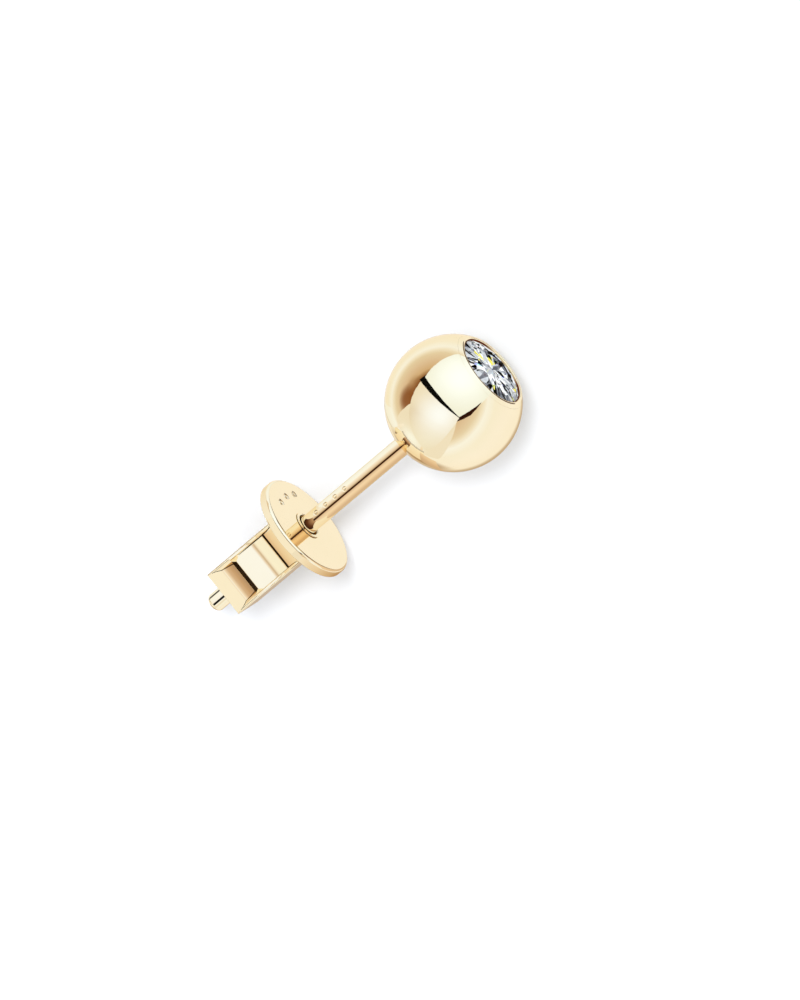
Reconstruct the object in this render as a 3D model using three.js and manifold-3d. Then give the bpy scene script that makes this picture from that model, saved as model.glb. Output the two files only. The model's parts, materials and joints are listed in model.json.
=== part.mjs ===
// A ball stud earring with a flush-set round brilliant and a push-on clutch, in millimetres.
//
// The stud is built along its own axis: +X runs from the ball's centre towards the diamond, and
// the post leaves the back of the ball along -X. The whole is then tilted by the small angle at
// which it lies on a table, on its ball and on the rim of the clutch's disc, and set with the
// middle of its footprint at the origin, +Z up.

import * as THREE from 'three';
import { mergeVertices } from 'three/addons/utils/BufferGeometryUtils.js';
import Module from 'manifold-3d';

const wasm = await Module();
wasm.setup();

// ---------------------------------------------------------------- driving dimensions

const SIDES = 36;                  // sides of every turned piece
const FLAT = Math.cos(Math.PI / SIDES);

const BALL_R = 3.0;
const BALL_WALL = 0.35;
const BALL_STEP = THREE.MathUtils.degToRad(7.5);

const POST_R = 0.4;
const POST_REACH = 15.0;           // ball centre to the post's tip
const TIP_DOME = 0.28;             // length of the rounded tip
const SOLDER_R = 0.08;             // fillet between post and ball

const STONE_R = 1.75;
const TABLE_R = 1.05;
const CROWN_ANGLE = THREE.MathUtils.degToRad(27);
const PAVILION_ANGLE = THREE.MathUtils.degToRad(40.75);
const GIRDLE_TOP = 2.19;           // distance of the girdle's upper edge from the ball's centre
const GIRDLE_H = 0.06;
const STAR_LENGTH = 0.5;           // share of the way from table to girdle
const LOWER_HALF = 0.77;           // share of the way from girdle to culet

const SETTING_R = 1.98;            // radius of the ball's opening
const SETTING_GAP = 0.02;          // clearance between the ring and the ball, and ring and stone
const RING_DEPTH = 1.55;           // distance of the ring's inner end from the ball's centre
const LIP_R = 1.705;               // the lip's inner edge
const LIP_TOP = 2.37;

const DISC_R = 2.5;
const DISC_T = 0.47;
const DISC_FRONT = -9.0;           // the disc's front face, on the stud's axis
const DISC_FRONT_ROUND = 0.1;
const DISC_BACK_ROUND = 0.1;
const DISC_HOLE_R = 0.64;

const BORE_R = 0.43;               // runs on the post with 0.03 mm all round
const NECK_R = 0.62;
const NECK_BORE_R = 0.53;         // the neck stands clear of the post all round
const EYELET_R = 0.73;
const EYELET_RISE = 0.07;          // how far the rolled eyelet stands off the disc
const EYELET_MOUTH = 0.56;
const SEAT_GAP = 0.02;

const GRIP_W = 2.2;                // across the box's two side walls
const GRIP_D = 2.4;                // across its two open faces
const GRIP_L = 4.26;               // from the disc's back to the open end
const BASE_T = 0.2;
const WALL_T = 0.17;               // side wall at its edge
const WALL_DRAFT = 0.19;           // how far the side wall's inner face leans in
const WALL_WAIST = 0.6;            // height at which the lean ends
const LEAF_T = 0.16;
const LEAF_CLEAR = 0.45;           // the leaves' inner faces stay this far from the axis
const CURL_RUN = 0.94;             // length of the curled leaf, along the post
const CURL_FOOT = 0.55;            // height at which the curl turns straight down
const END_RIM = 0.142;
const SLOT_W = 0.168;              // gap between the curled leaf and the flat leaf

// ---------------------------------------------------------------- helpers

/** Turn a closed or axis-to-axis profile of [along, radius] points round the stud's axis. */
function turned(profile) {
  const points = profile.map(([along, radius]) => new THREE.Vector2(radius, along));
  const halfStep = Math.PI / SIDES;
  const geometry = new THREE.LatheGeometry(points, SIDES, halfStep);
  geometry.rotateZ(-Math.PI / 2);
  return geometry;
}

/** Extrude an outline of [a, b] points, centred, over the given length. */
function extruded(outline, length) {
  const shape = new THREE.Shape(outline.map(([a, b]) => new THREE.Vector2(a, b)));
  const geometry = new THREE.ExtrudeGeometry(shape, { depth: length, bevelEnabled: false });
  geometry.translate(0, 0, -length / 2);
  return geometry;
}

/** Points of an arc of an ellipse, from one angle to another, both ends included. */
function arc(centreA, centreB, radiusA, radiusB, from, to, steps) {
  return Array.from({ length: steps + 1 }, (_, i) => {
    const angle = from + ((to - from) * i) / steps;
    return [centreA + radiusA * Math.cos(angle), centreB + radiusB * Math.sin(angle)];
  });
}

/** A closed geometry as a manifold-3d solid. */
function toSolid(geometry) {
  const bare = geometry.clone();
  bare.deleteAttribute('normal');
  bare.deleteAttribute('uv');
  const merged = mergeVertices(bare, 1e-5);
  return new wasm.Manifold(new wasm.Mesh({
    numProp: 3,
    vertProperties: new Float32Array(merged.attributes.position.array),
    triVerts: new Uint32Array(merged.index.array),
  }));
}

/** A manifold-3d solid as a geometry. */
function toGeometry(solid) {
  const mesh = solid.getMesh();
  const geometry = new THREE.BufferGeometry();
  geometry.setAttribute('position', new THREE.BufferAttribute(mesh.vertProperties, 3));
  geometry.setIndex(new THREE.BufferAttribute(mesh.triVerts, 1));
  geometry.computeVertexNormals();
  return geometry;
}

/** A named mesh with its own material. */
function piece(name, geometry, look) {
  const mesh = new THREE.Mesh(geometry, new THREE.MeshStandardMaterial(look));
  mesh.name = name;
  return mesh;
}

const GOLD = { color: 0xf2d5a0, metalness: 1, roughness: 0.08 };
const CLUTCH_GOLD = { color: 0xf0d29c, metalness: 1, roughness: 0.1 };
const DIAMOND = { color: 0xf4f7fb, metalness: 0, roughness: 0 };

// ---------------------------------------------------------------- ball and post

/** The hollow ball with its post: one turned solid, open at the front for the setting. */
function ballAndPost() {
  const tip = arc(-POST_REACH + TIP_DOME, 0, TIP_DOME, POST_R, Math.PI, Math.PI / 2, 5);
  const backAngle = Math.PI - Math.asin((POST_R + SOLDER_R) / BALL_R);
  const frontAngle = Math.asin((SETTING_R + SOLDER_R / 3) / BALL_R);
  const outerSteps = Math.round((backAngle - frontAngle) / BALL_STEP);
  const outer = arc(0, 0, BALL_R, BALL_R, backAngle, frontAngle, outerSteps);
  const innerR = BALL_R - BALL_WALL;
  const innerStart = Math.asin(SETTING_R / innerR);
  const inner = arc(0, 0, innerR, innerR, innerStart, Math.PI, 12);
  const shoulder = outer[0][0] - SOLDER_R;
  const throat = outer[outer.length - 1][0] - SOLDER_R / 4;
  return turned([...tip, [shoulder, POST_R], ...outer, [throat, SETTING_R], ...inner]);
}

// ---------------------------------------------------------------- setting ring

/** The setting ring: a rounded lip over the stone's edge, a groove for its girdle and a seat. */
function bezelRing() {
  const outerR = SETTING_R - SETTING_GAP;
  const pocketR = STONE_R + 0.025;
  const girdleLow = GIRDLE_TOP - GIRDLE_H;
  const seatR = 1.46;
  const seatTop = girdleLow - (STONE_R - seatR) * Math.tan(PAVILION_ANGLE) - 0.03;
  const lipUnder = GIRDLE_TOP + (STONE_R - LIP_R) * Math.tan(CROWN_ANGLE) + SETTING_GAP;
  const rimEdge = Math.sqrt(BALL_R ** 2 - outerR ** 2) - 0.03;
  const boreR = 1.4;
  return turned([
    [RING_DEPTH, boreR],
    [RING_DEPTH, outerR],
    [rimEdge, outerR],
    [rimEdge + 0.045, outerR - 0.03],
    [LIP_TOP - 0.02, 1.9],
    [LIP_TOP, 1.83],
    [LIP_TOP - 0.005, 1.76],
    [LIP_TOP - 0.04, LIP_R],
    [lipUnder + 0.01, LIP_R],
    [GIRDLE_TOP + SETTING_GAP, pocketR],
    [girdleLow - SETTING_GAP / 2, pocketR],
    [seatTop, seatR],
    [seatTop - 0.06, boreR],
    [RING_DEPTH, boreR],
  ]);
}

// ---------------------------------------------------------------- diamond

/** A point at a distance along the stud's axis and a radius and angle round it. */
function aroundAxis(along, radius, angle) {
  return [along, radius * Math.cos(angle), radius * Math.sin(angle)];
}

/**
 * The round brilliant: table, 8 stars, 8 kites and 16 upper halves above the girdle, 16 lower
 * halves and 8 pavilion mains below it. The kites and mains are flat because their corners are
 * worked out on one plane each.
 */
function diamond() {
  const eighth = Math.PI / 4;
  const girdleLow = GIRDLE_TOP - GIRDLE_H;
  const crownSlope = Math.tan(CROWN_ANGLE);
  const pavilionSlope = Math.tan(PAVILION_ANGLE);
  const tableEdge = TABLE_R * Math.cos(eighth / 2);
  const starR = tableEdge + STAR_LENGTH * (STONE_R - tableEdge);
  const halfR = STONE_R * (1 - LOWER_HALF);
  const tableTop = GIRDLE_TOP + (STONE_R - TABLE_R) * crownSlope;
  const starTop = GIRDLE_TOP + (STONE_R - starR * Math.cos(eighth / 2)) * crownSlope;
  const halfLow = girdleLow - (STONE_R - halfR * Math.cos(eighth / 2)) * pavilionSlope;
  const culet = girdleLow - STONE_R * pavilionSlope;

  const ring = (along, radius, turn) => Array.from(
    { length: 8 }, (_, k) => aroundAxis(along, radius, k * eighth + turn));
  const table = ring(tableTop, TABLE_R, 0);
  const star = ring(starTop, starR, eighth / 2);
  const upperMain = ring(GIRDLE_TOP, STONE_R, 0);
  const upperMid = ring(GIRDLE_TOP, STONE_R, eighth / 2);
  const lowerMain = ring(girdleLow, STONE_R, 0);
  const lowerMid = ring(girdleLow, STONE_R, eighth / 2);
  const half = ring(halfLow, halfR, eighth / 2);
  const tableCentre = [tableTop, 0, 0];
  const point = [culet, 0, 0];

  const triangles = [];
  const face = (...corners) => {
    for (let i = 1; i + 1 < corners.length; i += 1) {
      triangles.push(corners[0], corners[i], corners[i + 1]);
    }
  };
  for (let k = 0; k < 8; k += 1) {
    const next = (k + 1) % 8;
    const last = (k + 7) % 8;
    face(tableCentre, table[k], table[next]);
    face(table[k], star[k], table[next]);
    face(table[k], star[last], upperMain[k], star[k]);
    face(star[k], upperMain[k], upperMid[k]);
    face(star[k], upperMid[k], upperMain[next]);
    face(upperMain[k], lowerMain[k], lowerMid[k], upperMid[k]);
    face(upperMid[k], lowerMid[k], lowerMain[next], upperMain[next]);
    face(lowerMain[k], half[k], lowerMid[k]);
    face(lowerMid[k], half[k], lowerMain[next]);
    face(lowerMain[k], half[last], point, half[k]);
  }
  const geometry = new THREE.BufferGeometry();
  geometry.setAttribute('position', new THREE.Float32BufferAttribute(triangles.flat(), 3));
  geometry.computeVertexNormals();
  return geometry;
}

// ---------------------------------------------------------------- clutch

/** The disc: a flat pad with softly rounded edges and a hole for the grip's neck. */
function clutchDisc() {
  const back = DISC_FRONT - DISC_T;
  const quarter = Math.PI / 2;
  const frontEdge = arc(DISC_FRONT - DISC_FRONT_ROUND, DISC_R - DISC_FRONT_ROUND,
    DISC_FRONT_ROUND, DISC_FRONT_ROUND, quarter, 0, 3);
  const backEdge = arc(back + DISC_BACK_ROUND, DISC_R - DISC_BACK_ROUND,
    DISC_BACK_ROUND, DISC_BACK_ROUND, Math.PI, quarter, 3);
  return turned([
    [DISC_FRONT, DISC_HOLE_R],
    [back, DISC_HOLE_R],
    ...backEdge,
    ...frontEdge,
    [DISC_FRONT, DISC_HOLE_R],
  ]);
}

/** The neck with its eyelet: it passes through the disc's hole and is rolled over in front. */
function neck(backEnd) {
  const front = DISC_FRONT + EYELET_RISE;
  const seat = DISC_FRONT + SEAT_GAP;
  return turned([
    [front - 0.05, NECK_BORE_R],
    [front - 0.015, EYELET_MOUTH - 0.015],
    [front, EYELET_MOUTH],
    [front, EYELET_R - 0.05],
    [front - 0.02, EYELET_R - 0.015],
    [seat, EYELET_R],
    [seat, NECK_R],
    [backEnd, NECK_R],
    [backEnd, NECK_BORE_R],
    [front - 0.05, NECK_BORE_R],
  ].reverse());
}

/**
 * One open face of the box, as [distance behind the disc, height] outlines: a flat leaf that
 * dips from the disc to the post, and a leaf that curls in from the open end to meet it.
 */
function leafOutlines() {
  const top = GRIP_D / 2;
  const curlStart = GRIP_L - END_RIM;
  const curlEnd = curlStart - CURL_RUN;
  const quarter = Math.PI / 2;
  const outerCurl = arc(curlStart, CURL_FOOT, CURL_RUN, top - CURL_FOOT, quarter, 2 * quarter, 9);
  const innerCurl = arc(curlStart, CURL_FOOT, CURL_RUN - LEAF_T, top - CURL_FOOT - LEAF_T,
    2 * quarter, quarter, 9);
  const curled = [
    [GRIP_L, top],
    ...outerCurl,
    [curlEnd, LEAF_CLEAR],
    [curlEnd + LEAF_T, LEAF_CLEAR],
    ...innerCurl,
    [GRIP_L, top - LEAF_T],
  ];
  const flatEnd = curlEnd - SLOT_W;
  const flat = [
    [SEAT_GAP, top],
    [0.42, top],
    [0.5, top - 0.04],
    [1.12, 0.75],
    [1.23, 0.715],
    [1.83, 0.665],
    [flatEnd - 0.03, 0.63],
    [flatEnd, 0.6],
    [flatEnd, LEAF_CLEAR],
    [1.78, LEAF_CLEAR],
    [1.13, 0.55],
    [0.42, top - 0.24],
    [SEAT_GAP, top - 0.24],
  ];
  return [curled, flat];
}

/** The grip: base plate, two side walls, curled and flat leaves on both faces, and the neck. */
function clutchGrip() {
  const discBack = DISC_FRONT - DISC_T;
  const halfW = GRIP_W / 2;
  const halfD = GRIP_D / 2;
  const length = GRIP_L - SEAT_GAP;
  const middle = discBack - SEAT_GAP - length / 2;
  const rimW = halfW - WALL_T;
  const waistW = rimW - WALL_DRAFT;

  const wall = extruded([
    [halfW, -halfD],
    [halfW, halfD],
    [rimW, halfD],
    [waistW, WALL_WAIST],
    [waistW, -WALL_WAIST],
    [rimW, -halfD],
  ], length);
  wall.rotateY(Math.PI / 2);
  wall.rotateX(Math.PI / 2);
  wall.translate(middle, 0, 0);
  const otherWall = wall.clone().rotateX(Math.PI);

  const base = new THREE.BoxGeometry(BASE_T, GRIP_W, GRIP_D);
  base.translate(discBack - SEAT_GAP - BASE_T / 2, 0, 0);

  const leaves = leafOutlines().map((outline) => {
    const leaf = extruded(outline.map(([a, b]) => [discBack - a, b]), 2 * rimW + 0.1);
    return leaf.rotateX(Math.PI / 2);
  });
  const bore = new THREE.CylinderGeometry(BORE_R, BORE_R, 4, SIDES);
  bore.rotateY(Math.PI / SIDES);
  bore.rotateZ(-Math.PI / 2);
  bore.translate(discBack, 0, 0);

  let solid = toSolid(base).add(toSolid(wall)).add(toSolid(otherWall));
  for (const leaf of leaves) {
    solid = solid.add(toSolid(leaf)).add(toSolid(leaf.clone().rotateX(Math.PI)));
  }
  solid = solid.add(toSolid(neck(discBack - SEAT_GAP - BASE_T / 2)));
  return toGeometry(solid.subtract(toSolid(bore)));
}

// ---------------------------------------------------------------- assembly

/** The angle at which the stud lies on its ball and on the lower back edge of its disc. */
function restTilt() {
  const along = -DISC_FRONT + DISC_T - DISC_BACK_ROUND;
  const edgeR = (DISC_R - DISC_BACK_ROUND) * FLAT;
  const drop = BALL_R * FLAT - DISC_BACK_ROUND * FLAT;
  return Math.asin(drop / Math.hypot(along, edgeR)) - Math.atan2(edgeR, along);
}

const clutch = new THREE.Group();
clutch.add(piece('clutch_disc', clutchDisc(), CLUTCH_GOLD));
clutch.add(piece('clutch_grip', clutchGrip(), CLUTCH_GOLD));

const stud = new THREE.Group();
stud.add(piece('ball_and_post', ballAndPost(), GOLD));
stud.add(piece('bezel_ring', bezelRing(), GOLD));
stud.add(piece('diamond', diamond(), DIAMOND));
stud.add(clutch);
stud.rotation.y = -restTilt();

const earring = new THREE.Group();
earring.add(stud);
earring.updateMatrixWorld(true);
const extent = new THREE.Box3().setFromObject(earring, true);
const middle = extent.getCenter(new THREE.Vector3());
stud.position.set(-middle.x, -middle.y, -extent.min.z);
earring.updateMatrixWorld(true);

export default earring;
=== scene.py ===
"""A ball stud earring with a flush-set round brilliant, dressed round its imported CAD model.

The stud is worked out in its own frame, in millimetres: +X runs along the post towards the
diamond from the ball's centre, +Y across it and +Z up. StudFrame lays those points in the row
frame, in metres. Every turned piece is a profile carried round the stud's axis and every piece of
sheet is an outline carried across it, computed as whole numpy arrays with their exact normals.
"""

import json
import logging
import math
from collections.abc import Callable
from dataclasses import dataclass
from enum import Enum

import bpy
import numpy as np
from bpy.types import ID, Material, Mesh, Node, NodeSocket, Object
from mathutils import Matrix, Vector

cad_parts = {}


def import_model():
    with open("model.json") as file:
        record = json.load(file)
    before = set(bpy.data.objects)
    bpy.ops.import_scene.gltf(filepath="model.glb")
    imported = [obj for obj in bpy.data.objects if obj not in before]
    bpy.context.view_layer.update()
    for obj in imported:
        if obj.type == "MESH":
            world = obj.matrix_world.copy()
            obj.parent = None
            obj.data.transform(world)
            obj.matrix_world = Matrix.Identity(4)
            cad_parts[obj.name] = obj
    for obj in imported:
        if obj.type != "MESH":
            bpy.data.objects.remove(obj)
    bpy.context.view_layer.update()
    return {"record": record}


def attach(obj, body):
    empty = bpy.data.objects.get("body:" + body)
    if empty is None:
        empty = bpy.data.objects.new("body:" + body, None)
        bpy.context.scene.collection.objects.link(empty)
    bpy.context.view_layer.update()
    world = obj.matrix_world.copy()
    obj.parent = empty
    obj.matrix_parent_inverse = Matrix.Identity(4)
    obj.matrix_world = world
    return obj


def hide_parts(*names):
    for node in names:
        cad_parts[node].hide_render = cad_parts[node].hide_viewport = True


logging.basicConfig(level=logging.INFO, format="%(name)s: %(message)s")
LOG = logging.getLogger("stud")

Array = np.ndarray
MM = 0.001
TURNS = 192
TAU = 2.0 * math.pi
EDGE_STEPS = 4
SLOPE_STEP = 1e-4
WELD_M = 1e-9
NOISE_MIDDLE = (0.35, 0.65)
NOISE_MOST = (0.3, 0.7)
CREASE_SHADE_SIDES = 8


class Body(Enum):
    """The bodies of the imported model."""

    STUD = "stud"
    CLUTCH = "clutch"


class Slot(Enum):
    """The record's material slots."""

    GOLD = "polished_gold"
    CLUTCH = "clutch_gold"
    STONE = "diamond"


class Axis(Enum):
    """The axes of the stud's frame."""

    X = 0
    Y = 1
    Z = 2


# ---- the stud's own frame


@dataclass(frozen=True)
class StudFrame:
    """Where the stud lies in the row frame: its ball's centre and the direction of its post."""

    centre: Array
    along: Array

    @classmethod
    def from_mount(cls, mount: dict, along_mm: float, up_mm: float) -> "StudFrame":
        """Work the frame out from the lobe face, whose place on the stud is known.

        Args:
            mount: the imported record's flat face on the clutch's disc.
            along_mm: distance of that face from the ball's centre, negative towards the tip.
            up_mm: height of the mount's point above the post's axis.

        Returns:
            The stud's frame.
        """
        along = np.array(mount["axis"], float)
        along /= np.linalg.norm(along)
        up = np.array([-along[2], 0.0, along[0]])
        centre = np.array(mount["pos_m"], float) - (along_mm * along + up_mm * up) * MM
        return cls(centre, along)

    @property
    def axes(self) -> Array:
        """The stud's X, Y and Z directions as the rows of a matrix."""
        a = self.along
        return np.array([a, [0.0, 1.0, 0.0], [-a[2], 0.0, a[0]]])

    def place(self, points: Array) -> Array:
        """Points in the stud's millimetres as points in the row frame's metres."""
        return self.centre + points @ self.axes * MM

    def turn(self, directions: Array) -> Array:
        """Directions in the stud's frame as directions in the row frame."""
        return directions @ self.axes


# ---- surfaces


@dataclass
class Shell:
    """One closed surface: points and normals in the stud's frame, and its faces."""

    points: Array
    normals: Array
    faces: list

    @classmethod
    def woven(cls, points: Array, normals: Array, ring: bool = False) -> "Shell":
        """Make a tube from a grid.

        Args:
            points: (rows, columns, 3), its columns running round the tube.
            normals: their normals.
            ring: whether the last row joins the first; otherwise two faces close the ends.

        Returns:
            The closed shell.
        """
        rows, columns = points.shape[:2]
        faces = grid_faces(rows, columns, wrap_rows=ring)
        if not ring:
            corners = range(rows * columns)
            faces += [list(corners[:columns])[::-1], list(corners[-columns:])]
        return cls(points.reshape(-1, 3), normals.reshape(-1, 3), faces)

    @classmethod
    def joined(cls, shells: list) -> "Shell":
        """Several shells as one."""
        faces, count = [], 0
        for shell in shells:
            faces += [[corner + count for corner in face] for face in shell.outward()]
            count += len(shell.points)
        return cls(np.vstack([shell.points for shell in shells]),
                   np.vstack([shell.normals for shell in shells]), faces)

    def outward(self) -> list:
        """The faces, all turned over if they point against the normals."""
        quads = np.array([face for face in self.faces if len(face) == 4])
        a, b, _, d = self.points[quads.T]
        agree = (np.cross(b - a, d - a) * self.normals[quads[:, 0]]).sum() >= 0
        return self.faces if agree else [face[::-1] for face in self.faces]

    def half_turned(self) -> "Shell":
        """The shell turned half round the stud's axis."""
        half = np.array([1.0, -1.0, -1.0])
        return Shell(self.points * half, self.normals * half, self.faces)


def rounded(corners: Array | list, radii: Array | list, closed: bool = True,
            steps: int = 6) -> tuple:
    """Round the corners of an outline, whose points (x, y) are taken as complex numbers x + iy.

    At each corner the arc touches both sides: its tangent length is the radius times the tangent
    of half the turn, and its normal swings evenly from one side's to the other's. Material lies
    on the left, and normals point right; a closed outline of negative area is turned round first.

    Args:
        corners: (n, 2) corner points in order.
        radii: (n,) fillet radii; 0 keeps the corner as a plain point.
        closed: whether the last corner joins the first; an open outline keeps its ends.
        steps: spans of each arc.

    Returns:
        (points, normals), each (m, 2).
    """
    z, radii = np.asarray(corners, float) @ [1.0, 1j], np.asarray(radii, float)
    if closed and (z.conj() * np.roll(z, -1)).imag.sum() < 0:
        z, radii = z[::-1], radii[::-1]
    before, after = z - np.roll(z, 1), np.roll(z, -1) - z
    if not closed:
        before[0], after[-1] = after[0], before[-1]
    before /= abs(before)
    turn = np.angle(after / before)
    right = -1j * before
    signed = radii * np.where(turn >= 0.0, 1.0, -1.0)
    centre = z - before * radii * np.tan(abs(turn) / 2) - right * signed
    normals = right[:, None] * np.exp(1j * turn[:, None] * np.linspace(0.0, 1.0, steps + 1))
    points = centre[:, None] + normals * signed[:, None]
    plain = radii <= 0.0
    normals[plain] = normals[plain][:, steps // 2:steps // 2 + 1]
    keep = np.ones(points.shape, bool)
    keep[plain, 1:] = False
    return tuple(np.column_stack([part[keep].real, part[keep].imag]) for part in (points, normals))


def arc(radius: float, start: float, end: float, steps: int) -> Array:
    """Points of a circle round the origin from one angle to another, in degrees."""
    angle = np.radians(np.linspace(start, end, steps + 1))
    return radius * np.stack([np.cos(angle), np.sin(angle)], axis=1)


def grid_faces(rows: int, columns: int, wrap_rows: bool = False, wrap_columns: bool = True) -> list:
    """Make the quads of a grid of points numbered row by row.

    Args:
        rows: points down the grid.
        columns: points across it.
        wrap_rows: whether the last row joins the first.
        wrap_columns: whether the last column joins the first.

    Returns:
        Lists of four corners.
    """
    r = np.arange(rows if wrap_rows else rows - 1)[:, None]
    c = np.arange(columns if wrap_columns else columns - 1)[None, :]
    r2, c2 = (r + 1) % rows, (c + 1) % columns
    quads = np.stack([r * columns + c, r * columns + c2, r2 * columns + c2, r2 * columns + c], 2)
    return quads.reshape(-1, 4).tolist()


def turned(points: Array, normals: Array, closed: bool = True, dent: Callable | None = None,
           columns: int = TURNS) -> Shell:
    """Carry a profile round the stud's axis.

    A point (x, r) at angle t goes to (x, r cos t, r sin t). dent(x, r, t) is how far the surface
    lies under the plain one; the normal leans by its slope, found from close differences.

    Args:
        points: (n, 2) profile of distance along the axis and radius, material on its left.
        normals: (n, 2) its normals.
        closed: whether the profile closes on itself; an open one starts and ends on the axis.
        dent: function of arrays x, r and t, or None.
        columns: steps round the axis.

    Returns:
        The closed shell.
    """
    body = slice(None) if closed else slice(1, -1)
    x, r = points[body].T[:, :, None]
    nx, nr = normals[body].T[:, :, None]
    t = np.linspace(0.0, TAU, columns, endpoint=False)[None, :]
    cos, sin = np.cos(t), np.sin(t)

    def carried(along: Array, out: Array) -> Array:
        """A pair of the profile's components, carried round."""
        return np.stack([along + 0 * t, out * cos, out * sin], axis=2)

    pos, nrm = carried(x, r), carried(nx, nr)
    if dent is not None:
        h = SLOPE_STEP
        along = (dent(x - nr * h, r + nx * h, t) - dent(x + nr * h, r - nx * h, t)) / (2 * h)
        across = (dent(x, r, t + h / r) - dent(x, r, t - h / r)) / (2 * h)
        around = np.stack([0 * t, -sin, cos], axis=2)
        pos = pos - nrm * dent(x, r, t)[:, :, None]
        nrm = nrm + carried(-nr, nx) * along[:, :, None] + around * across[:, :, None]
        nrm /= np.linalg.norm(nrm, axis=2, keepdims=True)
    if closed:
        return Shell.woven(pos, nrm, ring=True)
    rows = len(pos)
    pos, nrm = (np.pad(part.reshape(-1, 3), ((0, 2), (0, 0))) for part in (pos, nrm))
    pos[-2:, 0], nrm[-2:, 0] = points[[0, -1], 0], np.sign(normals[[0, -1], 0])
    c = np.arange(columns)
    onward, base, first = (c + 1) % columns, (rows - 1) * columns, rows * columns
    fans = [onward, c, 0 * c + first], [base + c, base + onward, 0 * c + first + 1]
    return Shell(pos, nrm, grid_faces(rows, columns) + np.hstack(fans).T.tolist())


def pressed(points: Array, normals: Array, axis: Axis, low: float, high: float,
            edge: float = 0.03) -> Shell:
    """Carry a closed outline along an axis, with its two ends' edges rounded.

    Over each end the outline draws in by the edge radius times (1 - cos a) while it moves out by
    that radius times sin a, for a from 0 to 90 degrees, and a flat face closes it.

    Args:
        points: (n, 2) closed outline, material on its left.
        normals: (n, 2) its normals.
        axis: the axis that it is carried along.
        low: where it starts on that axis.
        high: where it ends.
        edge: radius of the rounded edges.

    Returns:
        The closed shell.
    """
    swing = np.linspace(0.0, math.pi / 2, EDGE_STEPS + 1)
    swing = np.concatenate([-swing[::-1], swing])[:, None]
    ends = np.repeat([low + edge, high - edge], EDGE_STEPS + 1)[:, None]
    flat = [column for column in range(3) if column != axis.value]
    pos, nrm = np.empty((2, len(swing), len(points), 3))
    pos[..., flat] = points - normals * (edge * (1.0 - np.cos(swing)))[..., None]
    pos[..., axis.value] = ends + edge * np.sin(swing)
    nrm[..., flat] = normals * np.cos(swing)[..., None]
    nrm[..., axis.value] = np.sin(swing)
    return Shell.woven(pos, nrm)


@dataclass
class Workshop:
    """Makes Blender pieces from shells and fastens them to the model's bodies."""

    frame: StudFrame

    def piece(self, name: str, shells: list, body: Body, slot: Slot, material: Material,
              replaces: str) -> None:
        """Make one smooth piece from closed shells.

        Args:
            name: the piece's name.
            shells: its closed shells.
            body: the body that it rides on.
            slot: the record's slot; not used.
            material: its material.
            replaces: the CAD node that it stands for.
        """
        whole = Shell.joined(shells)
        mesh = bpy.data.meshes.new(name)
        mesh.from_pydata(self.frame.place(whole.points), [], whole.faces)
        mesh.polygons.foreach_set("use_smooth", np.ones(len(mesh.polygons), bool))
        mesh.update()
        mesh.normals_split_custom_set_from_vertices(self.frame.turn(whole.normals))
        self.fasten(name, mesh, body, slot, material, replaces)

    @staticmethod
    def fasten(name: str, mesh: Mesh, body: Body, slot: Slot, material: Material,
               replaces: str) -> None:
        """Dress a mesh, link it as a piece and set it on its body; arguments as for piece."""
        mesh.materials.append(material)
        piece = bpy.data.objects.new(name, mesh)
        bpy.context.scene.collection.objects.link(piece)
        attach(piece, body.value)
        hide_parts(replaces)
        LOG.info("%s: %d faces on %s", name, len(mesh.polygons), body.value)


# ---- finishes


class Tree:
    """Short-hand for building a node tree."""

    def __init__(self, holder: ID) -> None:
        """Turn the nodes of a material or a world on, and clear them."""
        holder.use_nodes = True
        self.tree = holder.node_tree
        self.tree.nodes.clear()

    def fill(self, node: Node, *inputs, **values) -> Node:
        """Fill a node in.

        Args:
            node: the node.
            inputs: for its first inputs, the value or the socket to link.
            values: the same by name, with spaces as underscores, or its properties' values.

        Returns:
            The node.
        """
        pairs = list(zip(node.inputs, inputs))
        for key, value in values.items():
            if hasattr(node, key):
                setattr(node, key, value)
            else:
                pairs.append((node.inputs[key.replace("_", " ")], value))
        for socket, value in pairs:
            if isinstance(value, NodeSocket):
                self.tree.links.new(value, socket)
            else:
                socket.default_value = value
        return node

    def add(self, kind: str, *inputs, **values) -> Node:
        """Add a node of a kind and fill it in."""
        return self.fill(self.tree.nodes.new("ShaderNode" + kind), *inputs, **values)

    def noise(self, per_m: float, detail: float, stretch: tuple = (1.0, 1.0, 1.0)) -> NodeSocket:
        """A noise pattern with that many waves a metre."""
        place = self.add("Mapping", self.add("TexCoord").outputs["Object"], Scale=stretch)
        return self.add("TexNoise", place.outputs[0], Scale=per_m, Detail=detail).outputs["Fac"]

    def ramp(self, source: NodeSocket, low: float, high: float, start: float = 0.0,
             end: float = 1.0, blend: str = "LINEAR") -> NodeSocket:
        """The source's range from low to high, mapped to start to end and held there."""
        return self.add("MapRange", interpolation_type=blend, Value=source, From_Min=low,
                        From_Max=high, To_Min=start, To_Max=end).outputs["Result"]

    def mix(self, share: NodeSocket, first: tuple | NodeSocket, second: tuple) -> NodeSocket:
        """A colour between two, by a share."""
        if isinstance(first, tuple):
            first = (*first, 1.0)
        return self.add("Mix", data_type="RGBA", Factor=share, A=first,
                        B=(*second, 1.0)).outputs["Result"]


class Finish(Tree):
    """A material with a Principled shader."""

    def __init__(self, name: str) -> None:
        """Make the material with its shader and its output."""
        self.material = bpy.data.materials.new(name)
        super().__init__(self.material)
        self.shader = self.add("BsdfPrincipled")
        self.add("OutputMaterial", self.shader.outputs["BSDF"])

    def dressed(self, **values) -> Material:
        """The material, with its shader's inputs filled in by name."""
        self.fill(self.shader, **values)
        return self.material


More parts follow.
